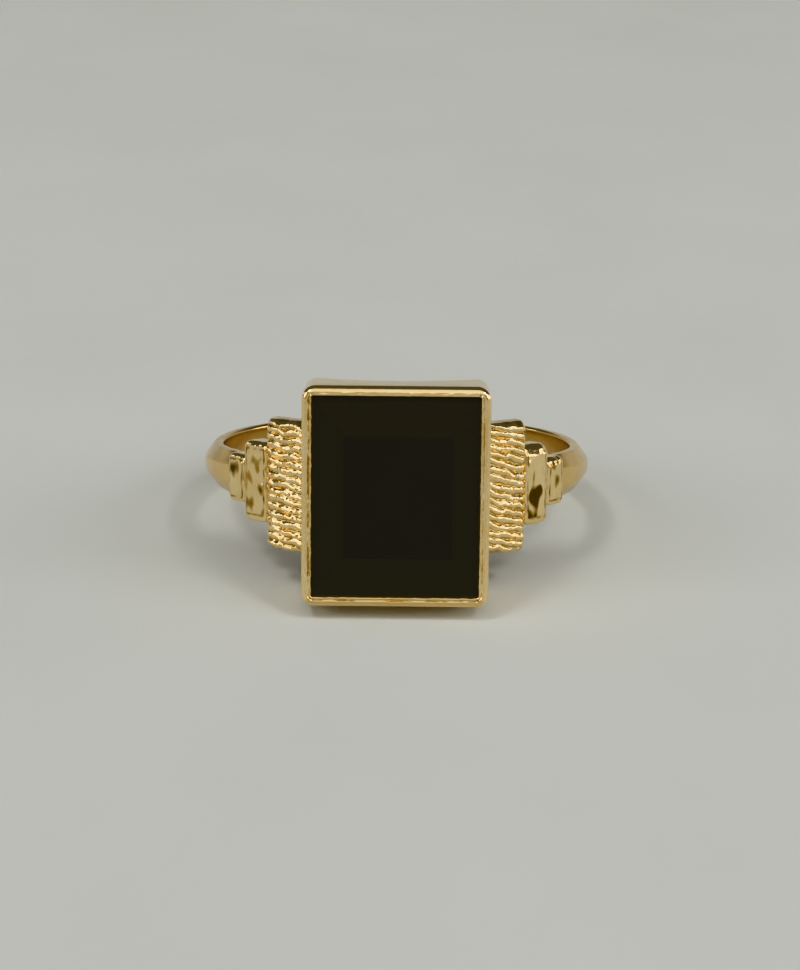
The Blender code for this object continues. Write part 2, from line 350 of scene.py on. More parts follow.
SHOULDER_MARGIN = 0.05  # from the plate's ends to the bars' ends
SHOULDER_ROUNDING = 0.10
SHOULDER_ROUNDING_STEPS = 5
SHOULDER_WIDTH_STEPS = 12
SHOULDER_STATIONS = 24  # under each bar
SHOULDER_HEAD_GAP = 0.02
SHOULDER_STEP = 1e-4  # radians in which one bar's width changes to the next one's


def plate_section(half, top):
    """Flat on both sides, with the edges on the finger's side rounded."""
    edge = inner_edge(half, SHOULDER_ROUNDING, SHOULDER_ROUNDING_STEPS)
    upper = [(half, top)] + straight(half, top, SHOULDER_WIDTH_STEPS) + [(-half, top)]
    floor = straight(SHOULDER_ROUNDING - half, FINGER_RADIUS, SHOULDER_WIDTH_STEPS)
    return edge + upper + mirrored(edge) + floor


def make_shoulder(name, side):
    """The plate under one side's bars, bent round the finger and stepped like them."""
    plate = ring_points(f"shoulder_{side}")
    end = np.abs(angles(plate)).max()
    top = radii(plate).max()
    start = math.asin((HEAD_X + SHOULDER_HEAD_GAP) / FINGER_RADIUS)
    loops = []
    for bar in ("ribbed_bar", "middle_bar", "outer_bar"):
        low, high, half_along, _ = bar_facts(f"{bar}_{side}")
        stop = min(max(abs(low), abs(high)), end)
        section = plate_section(half_along - SHOULDER_MARGIN, top)
        for i in range(SHOULDER_STATIONS + 1):
            angle = SIDES[side] * (start + (stop - start) * i / SHOULDER_STATIONS)
            loops.append([bent(angle, along, out) for along, out in section])
        start = stop + SHOULDER_STEP
    return loops_object(name, loops)


# ---------------------------------------------------------------- the smooth bars

# for each: the corner of its outline, its panel's distance from its ends, the width of the facet
# filed at its upper end, the strength of its patches of painted dark reflection, and the seed of its
# pattern
SMOOTH_BARS = {
    "middle_bar_left": dict(corner=0.36, end_rim=0.34, facet=0.14, painted_reflection=1.0, seed=340),
    "middle_bar_right": dict(corner=0.36, end_rim=0.34, facet=0.50, painted_reflection=2.2, seed=155),
    "outer_bar_left": dict(corner=0.30, end_rim=0.26, facet=0.12, painted_reflection=1.0, seed=302),
    "outer_bar_right": dict(corner=0.30, end_rim=0.26, facet=0.26, painted_reflection=1.0, seed=396),
}
BAR_BASE = FINGER_RADIUS + 0.10
BAR_OVERLAP = 0.05
BAR_ROUNDING = 0.12
BAR_ROUNDING_STEPS = 8
BAR_SIDE_STEPS = (14, 60)
BAR_RINGS = 30

# the top's falls from the middle: to the side away from the head, to both sides and to the ends
OUTER_FALL = 0.12
SIDES_FALL = 0.02
END_FALL = 0.20
END_FALL_WIDTH = 0.50
FACET_SLOPE = 0.38
BEATEN = ((0.060, 2.3, 1.7, 0, 0), (0.012, 5.5, 4.5, 0, 50))

# the panel on the top: its distance from either side, and the line cut round it
PANEL_OUTER_RIM = 0.26
PANEL_INNER_RIM = 0.15
PANEL_LINE_WIDTH = 0.045
PANEL_LINE_DEPTH = 0.022

# a darker, broken line along that cut, and patches of painted dark reflection within it
LINE_DARKENING = 1.1
LINE_BREAKS = ((2.2, 3.5, 2.4, 0, 60),)
REFLECTION_PATCHES = ((4.2, 2.2, 1.5, 0, 70),)
PATCH_THRESHOLD = 0.3
PATCH_FADE = 0.05
DEEPEST_BAR_DARKENING = 2.0


def slab_loops(half_across, half_along, corner, top):
    """A slab with a rounded upper edge, as loops from its foot up and in towards the middle of its top."""
    levels = [(0.0, BAR_BASE), (0.0, top - BAR_ROUNDING)]
    for turn in quarter_turn(BAR_ROUNDING_STEPS)[1:]:
        levels.append((BAR_ROUNDING * (1 - math.cos(turn)), top - BAR_ROUNDING * (1 - math.sin(turn))))
    loops = []
    for inset, height in levels:
        outline = rounded_loop(half_across - inset, half_along - inset, corner - inset, *BAR_SIDE_STEPS)
        loops.append([(across, along, height) for across, along in outline])
    flat = loops[-1]
    for ring in range(1, BAR_RINGS):
        shrink = 1 - ring / BAR_RINGS
        loops.append([(across * shrink, along * shrink, height) for across, along, height in flat])
    return loops


def panel_inset(across, along, half_across, half_along, side, end_rim):
    """How far a point lies inside the edge of a smooth bar's panel, which is nearer the bezel side."""
    side_rim = PANEL_OUTER_RIM if side * across > 0 else PANEL_INNER_RIM
    return min(half_across - abs(across) - side_rim, half_along - abs(along) - end_rim)


def panel_line(inside):
    return math.exp(-(inside / PANEL_LINE_WIDTH) ** 2)


def bar_fall(across, along, half_across, half_along, side, facet, seed):
    """How far a smooth bar's cushioned top falls from the CAD bar's, and how far the beating lifts it."""
    outwards = max(0.0, side * across / half_across)
    cushion = OUTER_FALL * outwards ** 4 + SIDES_FALL * (across / half_across) ** 6
    cushion += END_FALL * round_over(half_along - abs(along), END_FALL_WIDTH)
    cushion += FACET_SLOPE * max(0.0, facet - (half_along - along))
    return cushion, pattern(BEATEN, across, along, seed=seed) * (1 - outwards ** 4)


def bar_line_and_reflection(across, along, inside, amount, seed):
    """A darker, broken line round a smooth bar's panel, and patches of painted dark reflection within it.
    """
    line = panel_line(inside) * (LINE_DARKENING + pattern(LINE_BREAKS, across, along, seed=seed))
    patch = amount * (pattern(REFLECTION_PATCHES, across, along, seed=seed) - PATCH_THRESHOLD)
    patch *= clamped(inside / PATCH_FADE)
    return clamped(max(line, patch), 0.0, DEEPEST_BAR_DARKENING)


def make_smooth_bar(name, node, corner, end_rim, facet, painted_reflection, seed):
    """A slab with a rounded edge and a beaten, cushioned top, bent round the finger."""
    low, high, half_along, top = bar_facts(node)
    middle = (low + high) / 2
    side = 1 if middle > 0 else -1
    half_across = (high - low) / 2 * top + BAR_OVERLAP
    loops, marks = [], []
    for flat_loop in slab_loops(half_across, half_along, corner, top):
        loop = []
        for across, along, height in flat_loop:
            amount = 0.0
            if height > BAR_BASE:
                inside = panel_inset(across, along, half_across, half_along, side, end_rim)
                cushion, beaten = bar_fall(across, along, half_across, half_along, side, facet, seed)
                height -= cushion + PANEL_LINE_DEPTH * panel_line(inside) - beaten
                # a darker line round the panel, and patches of painted dark reflection
                amount = bar_line_and_reflection(across, along, inside, painted_reflection, seed)
            loop.append(bent(middle + across / top, along, height))
            marks.append(amount)
        loops.append(loop)
    made = loops_object(name, loops)
    mark(made, "stain_and_shade", marks)
    return made


# ---------------------------------------------------------------- the ribbed bars

RIBBED_BARS = {
    "left": dict(slope=-0.14, seed=21),
    "right": dict(slope=-0.22, seed=61),
}
RIBS = 17
RIB_DEPTH = 0.13
RIBBED_BASE = FINGER_RADIUS + 0.15
RIBBED_RISE = 0.02  # above the CAD bar's top
RIBBED_TUCK = 0.06  # into the head's side
RIBBED_REACH = 0.006  # radians past the CAD bar's outer side
RIBBED_COLUMNS = 60
RIBBED_ROWS = 700
# painted shade along the slab's foot
FOOT_SHADE = 0.2

# each rib's path, half its width as a share of the pitch, its height and its lean to one side
RIB_WANDER = ((0.13, 1.5, 0.33, 0, 0), (0.06, 4.1, 1.7, 0, 1))
RIB_HALF_WIDTH = 0.60
RIB_HALF_WIDTHS = ((0.22, 2.2, 2.3, 0, 2),)
RIB_HEIGHT = 0.90
RIB_HEIGHTS = ((0.40, 2.8, 1.9, 0, 3),)
RIB_LEAN = -0.12
RIB_LEANS = ((0.9, 1.3, 2.7, 0, 6),)
RIB_GRAIN = ((0.10, 7, 9, 0, 4),)
RIB_BREADTH = 1.3  # a broad crest above 1
RIB_FULLNESS = 0.8  # full sides below 1
HIGHEST_RIB = 1.15
# painted shade in the grooves between the ribs, and its deepest
RIB_SHADE = 0.8
DEEPEST_RIB_SHADE = 0.7

# how the slab and its ribs run out: the width of a rounding, and the fall or the share faded there
OUTER_ROUNDING, OUTER_DROP, OUTER_FADE = 0.34, 0.30, 0.45
END_ROUNDING, END_DROP = 0.42, 0.34
HEAD_ROUNDING, HEAD_DROP = 0.14, 0.10
HEAD_FADE_WIDTH, HEAD_FADE = 0.16, 0.8


def rib_plan(columns, half_across, half_along, side, slope, seed):
    """For each rib and column: where the rib's middle lies, half its width, its height and its lean."""
    pitch = 2 * half_along / RIBS
    middle, half_width, height, lean = (np.zeros((RIBS, columns)) for _ in range(4))
    for rib in range(RIBS):
        for c in range(columns):
            across = (2 * c / (columns - 1) - 1) * half_across
            wander = pattern(RIB_WANDER, across, rib, seed=seed)
            middle[rib, c] = (rib + 0.5) * pitch - half_along + slope * side * across + wander
            half_width[rib, c] = pitch * (RIB_HALF_WIDTH + pattern(RIB_HALF_WIDTHS, across, rib, seed=seed))
            height[rib, c] = RIB_HEIGHT + pattern(RIB_HEIGHTS, across, rib, seed=seed)
            lean[rib, c] = pattern(RIB_LEANS, across, rib, seed=seed) + RIB_LEAN
    return middle, half_width, height, lean


def run_out(from_outer, from_end, from_head):
    """How far the slab falls away near its edges, and what share of its ribs is left there."""
    fall = round_over(from_outer, OUTER_ROUNDING) * OUTER_DROP
    fall += round_over(from_end, END_ROUNDING) * END_DROP
    fall += round_over(from_head, HEAD_ROUNDING) * HEAD_DROP
    fade = 1 - HEAD_FADE * round_over(from_head, HEAD_FADE_WIDTH)
    fade -= OUTER_FADE * round_over(from_outer, OUTER_ROUNDING)
    return fall, fade


def close_below(points, rim, base, hub_angle):
    """Faces from a sheet's rim down to the base radius and across the bottom, whose points are added."""
    foot = list(range(len(points), len(points) + len(rim)))
    for index in rim:
        x, along, z = points[index]
        points.append(bent(math.atan2(x, z), along, base))
    faces = []
    for i in range(len(rim)):
        j = (i + 1) % len(rim)
        faces.append((rim[j], rim[i], foot[i], foot[j]))
    return faces + fan(points, foot[::-1], bent(hub_angle, 0.0, base))


def rib_height(along, middle, half_width, height, lean):
    """The height of the tallest rib at one place in a column, 1 on a usual crest and 0 between ribs."""
    signed = np.clip((along - middle) / half_width, -1, 1)
    reach = np.abs(signed)
    crest = (0.5 + 0.5 * np.cos(math.pi * reach ** RIB_BREADTH)) ** RIB_FULLNESS
    return float((height * (crest + lean * signed * (1 - reach ** 2))).max())


def make_ribbed_bar(name, node, slope, seed):
    """The bar beside the head: a slab whose top is cut into rough ridges with a graver."""
    low, high, half_along, top = bar_facts(node)
    side = 1 if low + high > 0 else -1
    outer_angle = max(abs(low), abs(high)) + RIBBED_REACH
    inner_angle = math.asin((HEAD_X - RIBBED_TUCK) / top)
    half_across = (outer_angle - inner_angle) * top / 2
    plan = rib_plan(RIBBED_COLUMNS + 1, half_across, half_along, side, slope, seed)
    points, rib_shades = [], []
    for r in range(RIBBED_ROWS + 1):
        end_to_end = 2 * r / RIBBED_ROWS - 1
        along = end_to_end * half_along
        from_end = (1 - abs(end_to_end)) * half_along
        for c in range(RIBBED_COLUMNS + 1):
            outwards = c / RIBBED_COLUMNS
            fall, fade = run_out((1 - outwards) * 2 * half_across, from_end, outwards * 2 * half_across)
            rib = rib_height(along, *(column[:, c] for column in plan))
            rib += pattern(RIB_GRAIN, (2 * outwards - 1) * half_across, along, seed=seed)
            stand = RIB_DEPTH * (min(rib, HIGHEST_RIB) - 1.0) * fade
            angle = inner_angle + (outer_angle - inner_angle) * outwards
            points.append(bent(side * angle, along, top + RIBBED_RISE - fall + stand))
            # painted shade between the ribs
            rib_shades.append(clamped(RIB_SHADE * (1 - rib), 0.0, DEEPEST_RIB_SHADE) * fade)
    rim = sheet_rim(RIBBED_ROWS, RIBBED_COLUMNS)
    faces = sheet_faces(RIBBED_ROWS, RIBBED_COLUMNS)
    faces += close_below(points, rim, RIBBED_BASE, side * (inner_angle + outer_angle) / 2)
    # painted shade along the foot
    rib_shades += [FOOT_SHADE] * len(rim)
    made = make_object(name, points, faces, smooth_below=60)
    mark(made, "stain_and_shade", rib_shades)
    return made


# ---------------------------------------------------------------- the collet

UNDER, EDGE = "under", "edge"  # heights that follow the finger's curve
UNDER_RECESS = 0.02
LIP_ROUNDING = 0.24
LIP_ROUNDING_STEPS = 8
LIP_ROUNDING_WAVE = 0.35
LIP_SINK = 0.012
HEAD_SIDE_STEPS = (110, 130)

# points of the section, each with its inset from the wall's outside, its height from the lip's top,
# and how strongly the burnisher's marks move it across and up
WALL_SECTION = (
    (0.23, UNDER, 0, 0),
    (0.20, EDGE, 0, 0),
    (0.03, EDGE, 0, 0),
    (0.0, -1.75, 0, 0),
    (0.0, -0.9, 0, 0),
)
LIP_SECTION = (
    (0.262, -0.012, 0.8, 0.8),
    (0.284, -0.040, 1.1, 1.2),
    (0.304, -0.052, 1.3, 1.5),
    (0.324, -0.040, 1.3, 1.5),
    (0.350, -0.022, 1.3, 1.3),
    (0.385, -0.020, 1.3, 1.2),
    (0.415, -0.040, 1.3, 0.9),
    (0.440, -0.075, 1.3, 0.5),
    (0.455, -0.120, 1.2, 0.2),
    (0.460, -0.260, 1.0, 0),
    (0.25, -0.45, 0, 0),
    (0.23, -0.70, 0, 0),
)

# the corners of the outline, which shrink as the inset grows and start afresh where the lip turns in
LIP_CORNER = 0.60
LEAST_CORNER = 0.06
INWARDS_FROM = 0.245
INWARDS_CORNER = 0.40
INWARDS_SHRINK = 1.6
LEAST_INWARDS_CORNER = 0.08

# the burnisher's marks: how far they push the lip, and where they show
CHATTER = ((1.0, 2.4, 2.4, 0, 11), (0.7, 5.3, 5.3, 3, 12))
LIFT = ((1.0, 2.0, 2.0, 5, 13), (0.7, 5.0, 5.0, 4, 14))
CHATTER_SHIFT = 0.034
LIFT_RISE = 0.026
LIFT_SINK = 0.012
WEAR_LEFT, WEAR_RIGHT, WEAR_TOP, WEAR_BOTTOM = 1.0, 0.55, 0.30, 0.75

# old polish in the hollows between those marks, and painted shade on the bottom side
HOLLOW_STAIN = 0.6
HOLLOW_MIDDLE = 0.5
HOLLOW_CONTRAST = 1.4
BOTTOM_SHADE = 0.45
BOTTOM_SHADE_FROM = 0.05

# the plain bead along the top side
BEAD_WIDTH = 0.43
BEAD_DROP = 0.38
BEAD_LOWEST = -0.8


def is_on_side(x, y):
    return abs(x) / HEAD_X > abs(y) / HEAD_Y


def lip_wear(x, y):
    """How much the burnisher's marks show: most on the left, least along the top."""
    if is_on_side(x, y):
        return WEAR_LEFT if x < 0 else WEAR_RIGHT
    return WEAR_TOP if y > 0 else WEAR_BOTTOM


def bead_share(x, y):
    """1 along the head's top side, where the lip is a plain bead, easing to 0 round its corners."""
    past_x = max(0.0, abs(x) - (HEAD_X - LIP_CORNER))
    past_y = max(0.0, y - (HEAD_Y - LIP_CORNER))
    share = math.atan2(past_y, past_x) / (math.pi / 2) if past_y > 0 else 0.0
    return share * share * (3 - 2 * share)


def bead_height(inset):
    """The plain bead's height from its top, negative, at this inset from the wall's outside."""
    out = max(0.0, BEAD_WIDTH - inset) / BEAD_WIDTH
    return -BEAD_DROP * (1 - math.sqrt(max(0.0, 1 - out * out)))


def collet_section():
    """The whole section: up the wall, over its rounded top, along the lip and back down inside."""
    rounding = []
    for i, turn in enumerate(quarter_turn(LIP_ROUNDING_STEPS)):
        inset = LIP_ROUNDING * (1 - math.cos(turn))
        height = -LIP_ROUNDING + LIP_ROUNDING * math.sin(turn)
        wave = LIP_ROUNDING_WAVE * i / LIP_ROUNDING_STEPS
        rounding.append((inset, height, wave, wave))
    return [*WALL_SECTION, *rounding, *LIP_SECTION]


def collet_corner(inset):
    """The corner radius of the collet's outline at this inset."""
    if inset < INWARDS_FROM:
        return max(LIP_CORNER - inset, LEAST_CORNER)
    return max(INWARDS_CORNER - INWARDS_SHRINK * (inset - INWARDS_FROM), LEAST_INWARDS_CORNER)


def collet_point(x, y, inset, height, across_wave, up_wave):
    """A point of the collet, and how much old polish and painted shade darken it, from its place on the
    unworn collet.
    """
    wear = lip_wear(x, y)
    on_side = is_on_side(x, y)
    lift = pattern(LIFT, x, y, inset)
    shift = CHATTER_SHIFT * across_wave * pattern(CHATTER, x, y, inset) * wear
    moved_x = x - math.copysign(shift, x) if on_side else x
    moved_y = y if on_side else y - math.copysign(shift, y)
    if height == UNDER:
        z = math.sqrt((HEAD_UNDER + UNDER_RECESS) ** 2 - moved_x * moved_x)
    elif height == EDGE:
        z = math.sqrt(HEAD_UNDER ** 2 - moved_x * moved_x)
    else:
        if height > BEAD_LOWEST and inset < BEAD_WIDTH:
            share = bead_share(x, y)
            height = (1 - share) * height + share * bead_height(inset)
        rise = (LIFT_RISE * lift - LIFT_SINK) * up_wave * wear
        z = LIP_TOP - LIP_SINK + min(0.0, height + rise)
    # painted shade on the bottom side
    bottom_shade = BOTTOM_SHADE if y < 0 and not on_side and inset > BOTTOM_SHADE_FROM else 0.0
    hollow = HOLLOW_STAIN * clamped(HOLLOW_MIDDLE - HOLLOW_CONTRAST * lift) * min(1.0, up_wave) * wear
    return (np.clip(moved_x, -HEAD_X, HEAD_X), np.clip(moved_y, -HEAD_Y, HEAD_Y), z), max(bottom_shade, hollow)


def make_collet():
    """An upright wall round the stone, and a lip pushed down on it with a burnisher."""
    loops, polish_and_shade = [], []
    for inset, height, across_wave, up_wave in collet_section():
        outline = rounded_loop(HEAD_X - inset, HEAD_Y - inset, collet_corner(inset), *HEAD_SIDE_STEPS)
        made_points = [collet_point(x, y, inset, height, across_wave, up_wave) for x, y in outline]
        loops.append([point for point, _ in made_points])
        # old polish and painted shade
        polish_and_shade += [amount for _, amount in made_points]
    made = loops_object("bezel_collet", loops, close_rows=True, smooth_below=50)
    mark(made, "stain_and_shade", polish_and_shade)
    return made


# ---------------------------------------------------------------- the stone

# half the table's sizes, how far it lies off the middle, and the height at which the crown starts
TABLE_X = 2.46
TABLE_Y = 2.78
TABLE_SHIFT = 0.10
GIRDLE_TOP = 10.66
STONE_BACK_BEVEL = 0.15
STONE_GAP = 0.02  # inside the CAD stone's sides
STONE_EDGE = 0.02  # rounded off every edge that is sharper than the angle below
STONE_EDGE_ANGLE = math.radians(2)


def make_stone():
    """The step-cut stone: a bevelled back, an upright girdle and a mitred crown round a flat table."""
    girdle_x, girdle_y = STONE_X - STONE_GAP, STONE_Y - STONE_GAP
    levels = [
        (STONE_X - STONE_BACK_BEVEL, STONE_Y - STONE_BACK_BEVEL, STONE_BASE, 0.0),
        (girdle_x, girdle_y, STONE_BASE + STONE_BACK_BEVEL, 0.0),
        (girdle_x, girdle_y, GIRDLE_TOP - STONE_GAP, 0.0),
        (TABLE_X, TABLE_Y, STONE_TOP, TABLE_SHIFT),
    ]
    points = []
    for half_x, half_y, z, shift in levels:
        points += [(sign_x * half_x + shift, sign_y * half_y, z) for sign_x, sign_y in CORNERS]
    sides = len(CORNERS)
    faces = band_faces(len(levels), sides)
    crown_faces = range(len(faces) - sides, len(faces))
    faces += [tuple(range(sides))[::-1], tuple(range(len(points) - sides, len(points)))]
    made = make_object("onyx_cut", points, faces, smooth_below=3)
    crown = made.data.attributes.new("crown", "FLOAT", "FACE")
    crown.data.foreach_set("value", [float(face in crown_faces) for face in range(len(faces))])
    bevel = made.modifiers.new("polished_edges", "BEVEL")
    bevel.width = STONE_EDGE * MM
    bevel.segments = 2
    bevel.limit_method = "ANGLE"
    bevel.angle_limit = STONE_EDGE_ANGLE
    bevel.harden_normals = True
    made.data.shade_smooth()
    return made


# ---------------------------------------------------------------- shader nodes

def new_material(name):
    made = bpy.data.materials.new(name)
    made.use_nodes = True
    tree = made.node_tree
    return made, tree, tree.nodes["Principled BSDF"]


def add(tree, kind, **settings):
    node = tree.nodes.new(kind)
    for key, value in settings.items():
        setattr(node, key, value)
    return node


def mix(tree, factor, first, second):
    node = add(tree, "ShaderNodeMix", data_type="RGBA")
    tree.links.new(factor, node.inputs["Factor"])
    for socket, value in (("A", first), ("B", second)):
        place = next(i for i in node.inputs if i.name == socket and i.type == "RGBA")
        if isinstance(value, bpy.types.NodeSocket):
            tree.links.new(value, place)
        else:
            place.default_value = value
    return next(o for o in node.outputs if o.type == "RGBA")


def object_place(tree):
    return add(tree, "ShaderNodeTexCoord").outputs["Object"]


def attribute(tree, name):
    return add(tree, "ShaderNodeAttribute", attribute_name=name).outputs["Fac"]


def cloud(tree, place, scale, detail, roughness=0.5, distortion=0.0):
    """Noise from 0 to 1, with scale in cells per metre."""
    node = add(tree, "ShaderNodeTexNoise")
    settings = {"Scale": scale, "Detail": detail, "Roughness": roughness, "Distortion": distortion}
    for name, setting in settings.items():
        node.inputs[name].default_value = setting
    tree.links.new(place, node.inputs["Vector"])
    return node.outputs["Fac"]


def tint(tree, value, low_colour, high_colour, low=0.0, high=1.0):
    """A colour blended from low_colour, where value is low, to high_colour, where it is high."""
    node = add(tree, "ShaderNodeValToRGB")
    for element, position, colour in zip(node.color_ramp.elements, (low, high), (low_colour, high_colour)):
        element.position = position
        element.color = colour
    tree.links.new(value, node.inputs["Fac"])
    return node.outputs["Color"]


def ramped(tree, value, low, high, at_low=0.0, at_high=1.0, easing="LINEAR"):
    """value taken from at_low, where it is low, to at_high, where it is high."""
    node = add(tree, "ShaderNodeMapRange", interpolation_type=easing)
    tree.links.new(value, node.inputs["Value"])
    for name, setting in zip(("From Min", "From Max", "To Min", "To Max"), (low, high, at_low, at_high)):
        node.inputs[name].default_value = setting
    return node.outputs["Result"]


def bump(tree, height, strength, distance):
    node = add(tree, "ShaderNodeBump")
    node.inputs["Strength"].default_value = strength
    node.inputs["Distance"].default_value = distance
    tree.links.new(height, node.inputs["Height"])
    return node.outputs["Normal"]


# ---------------------------------------------------------------- materials

# the stained and shaded gold: painted shade between the ribs, inside the hoop, at the ribbed bars' feet and
# on the collet's bottom side, painted dark reflection on the shank's slopes and the smooth bars, and old
# polish in the collet's hollows
STAIN_AND_SHADE_GOLD = (0.51, 0.325, 0.105, 1)
# the darkest gold: along the bars' cut lines and in their painted dark reflections
DARKEST_GOLD = (0.09, 0.05, 0.012, 1)

# for each gold: its lighter and deeper colour, its roughness and the strength of its scratches
GOLDS = {
    "gold_polished": ((0.93, 0.73, 0.41, 1), (0.87, 0.65, 0.32, 1), 0.13, 0.25),
    "gold_ribbed": ((0.93, 0.73, 0.41, 1), (0.87, 0.65, 0.32, 1), 0.20, 0.5),
    # a deeper copy of the gold, painted shade for the parts inside the head
    "gold_inner": ((0.90, 0.63, 0.28, 1), (0.82, 0.53, 0.20, 1), 0.30, 0.9),
    # a deeper gold for the shank, partly wear and partly painted shade for the inside of the hoop
    "gold_worn_and_shaded": ((0.85, 0.61, 0.28, 1), (0.77, 0.52, 0.21, 1), 0.17, 0.5),
}
CLOUD_RANGE = (0.34, 0.66)  # of the noise, over which the gold turns from its deeper colour to the lighter
STAIN_AND_SHADE_RANGE = (0.15, 0.85)  # of the value of stain and painted shade, over which the gold turns to its stained and shaded colour
DARKEST_RANGE = (1.0, 2.0)  # and over which that turns to the darkest gold, along the bars' cut lines and in their painted dark reflections
SMEAR_RANGE = (0.3, 0.7)
SMEAR_SPREAD = (0.7, 1.35)  # shares of the roughness
SCRATCH_STRETCH = (1.0, 7.0, 1.0)
SCRATCH_DEPTH = 0.006

ONYX_DEEP = (0.0100, 0.0085, 0.0060, 1)
ONYX_CLOUDY = (0.0150, 0.0130, 0.0095, 1)
# the crown facets' warmer black: a painted reflection
CROWN_BLACK = (0.0145, 0.0120, 0.0062, 1)
ONYX_IOR = 1.54
ONYX_SPECULAR = 0.5
ONYX_WEAR_RANGE = (0.35, 0.75)
ONYX_ROUGHNESS = (0.05, 0.13)
ONYX_BUMP = 0.05
ONYX_WEAR_DEPTH = 0.004

FLOOR_DARK = (0.60, 0.61, 0.575, 1)
FLOOR_PALE = (0.66, 0.67, 0.635, 1)
FLOOR_ROUGHNESS = 0.9


def gold_colour(tree, place, light, deep):
    """Clouded gold, browner where its value of stain and painted shade nears 1, and darkest from there to
    2, along the bars' cut lines and in their painted dark reflections.
    """
    clouds = cloud(tree, place, scale=0.55 / MM, detail=5, roughness=0.6)
    clean = tint(tree, clouds, deep, light, *CLOUD_RANGE)
    stain_and_shade = attribute(tree, "stain_and_shade")
    darkened = mix(tree, ramped(tree, stain_and_shade, *STAIN_AND_SHADE_RANGE), clean, STAIN_AND_SHADE_GOLD)
    return mix(tree, ramped(tree, stain_and_shade, *DARKEST_RANGE), darkened, DARKEST_GOLD)


def gold_material(name):
    """Gold with clouded colour, smeared polish and fine scratches along one axis."""
    light, deep, roughness, scratch = GOLDS[name]
    made, tree, shader = new_material(name)
    link = tree.links.new
    place = object_place(tree)
    link(gold_colour(tree, place, light, deep), shader.inputs["Base Color"])
    shader.inputs["Metallic"].default_value = 1.0

    smear = cloud(tree, place, scale=1.8 / MM, detail=6, distortion=0.6)
    spread = [share * roughness for share in SMEAR_SPREAD]
    link(ramped(tree, smear, *SMEAR_RANGE, *spread), shader.inputs["Roughness"])

    stretched = add(tree, "ShaderNodeMapping")
    stretched.inputs["Scale"].default_value = SCRATCH_STRETCH
    link(place, stretched.inputs["Vector"])
    lines = cloud(tree, stretched.outputs["Vector"], scale=2.4 / MM, detail=8, roughness=0.7)
    link(bump(tree, lines, scratch, SCRATCH_DEPTH * MM), shader.inputs["Normal"])
    return made


def onyx_material():
    """Black polished stone with a slight haze of wear, its crown facets a warmer black that is a painted
    reflection.
    """
    made, tree, shader = new_material("onyx_black")
    link = tree.links.new
    place = object_place(tree)
    clouds = cloud(tree, place, scale=0.35 / MM, detail=6)
    black = mix(tree, attribute(tree, "crown"), tint(tree, clouds, ONYX_DEEP, ONYX_CLOUDY), CROWN_BLACK)
    link(black, shader.inputs["Base Color"])
    shader.inputs["IOR"].default_value = ONYX_IOR
    shader.inputs["Specular IOR Level"].default_value = ONYX_SPECULAR
    shader.inputs["Coat Weight"].default_value = 0.0
    wear = cloud(tree, place, scale=1.1 / MM, detail=8)
    link(ramped(tree, wear, *ONYX_WEAR_RANGE, *ONYX_ROUGHNESS), shader.inputs["Roughness"])
    link(bump(tree, wear, ONYX_BUMP, ONYX_WEAR_DEPTH * MM), shader.inputs["Normal"])
    return made


def floor_material():
    """A matt, pale grey, faintly mottled."""
    made, tree, shader = new_material("pale_floor")
    mottle = cloud(tree, object_place(tree), scale=60, detail=4)
    tree.links.new(tint(tree, mottle, FLOOR_DARK, FLOOR_PALE), shader.inputs["Base Color"])
    shader.inputs["Roughness"].default_value = FLOOR_ROUGHNESS
    return made


# ---------------------------------------------------------------- pieces

def dress(piece, material, node):
    """Gives a piece its material, and puts it in its CAD node's place."""
    piece.data.materials.clear()
    piece.data.materials.append(material)
    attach(piece, "root")
    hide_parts(node)


def make_side(side, polished, ribbed):
    """The three stepped bars on one side of the head, and the plate under them."""
    node = f"ribbed_bar_{side}"
    bar = make_ribbed_bar(f"ribbed_step_{side}", node, **RIBBED_BARS[side])
    dress(bar, ribbed, node)
    for step in ("middle", "outer"):
        node = f"{step}_bar_{side}"
        bar = make_smooth_bar(f"{step}_step_{side}", node, **SMOOTH_BARS[node])
        dress(bar, polished, node)
    plate = make_shoulder(f"shoulder_plate_{side}", side)
    dress(plate, polished, f"shoulder_{side}")


def make_ring():
    golds = {name: gold_material(name) for name in GOLDS}
    dress(make_shank(), golds["gold_worn_and_shaded"], "shank")
    dress(make_collet(), golds["gold_polished"], "bezel_wall")
    dress(make_stone(), onyx_material(), "onyx_stone")
    for side in SIDES:
        make_side(side, golds["gold_polished"], golds["gold_ribbed"])
    # the parts inside the head take the gold with painted shade
    for node in ("bearing_ledge", "back_plate"):
        carried = frame["nodes"][node]
        carried.data.materials.clear()
        carried.data.materials.append(golds["gold_inner"])


# ---------------------------------------------------------------- stage, light and camera

FLOOR_SIZE = 6  # metres

SKY = (0.52, 0.52, 0.50)  # the haze's colour, and the tint of every soft light
GLOOM = 0.10  # the brightness above the haze
HAZE_TOP = (0.15, 0.26)  # the upward parts of a direction between which the haze thins out
# direction, half angles in degrees where a light is full and where it has faded out, brightness
SOFT_LIGHTS = (
    ((0.0, -0.44, 0.90), 20, 27, 0.88),
    ((0.0, -0.84, 0.54), 14, 24, 0.42),
    ((-0.79, -0.36, 0.50), 14, 19, 2.6),
    ((0.80, -0.34, 0.50), 14, 19, 3.0),
    ((0.96, -0.16, 0.24), 4, 7, 2.4),
    ((-0.86, 0.40, 0.30), 4, 7, 3.0),
    ((0.91, 0.30, 0.22), 8, 12, 3.0),
)
# name, place and size in metres, power in watts
KEY_LIGHTS = (
    ("key_left", (-0.22, -0.16, 0.50), (0.12, 0.10), 0.6),
    ("key_right", (0.26, -0.20, 0.46), (0.10, 0.10), 0.55),
)

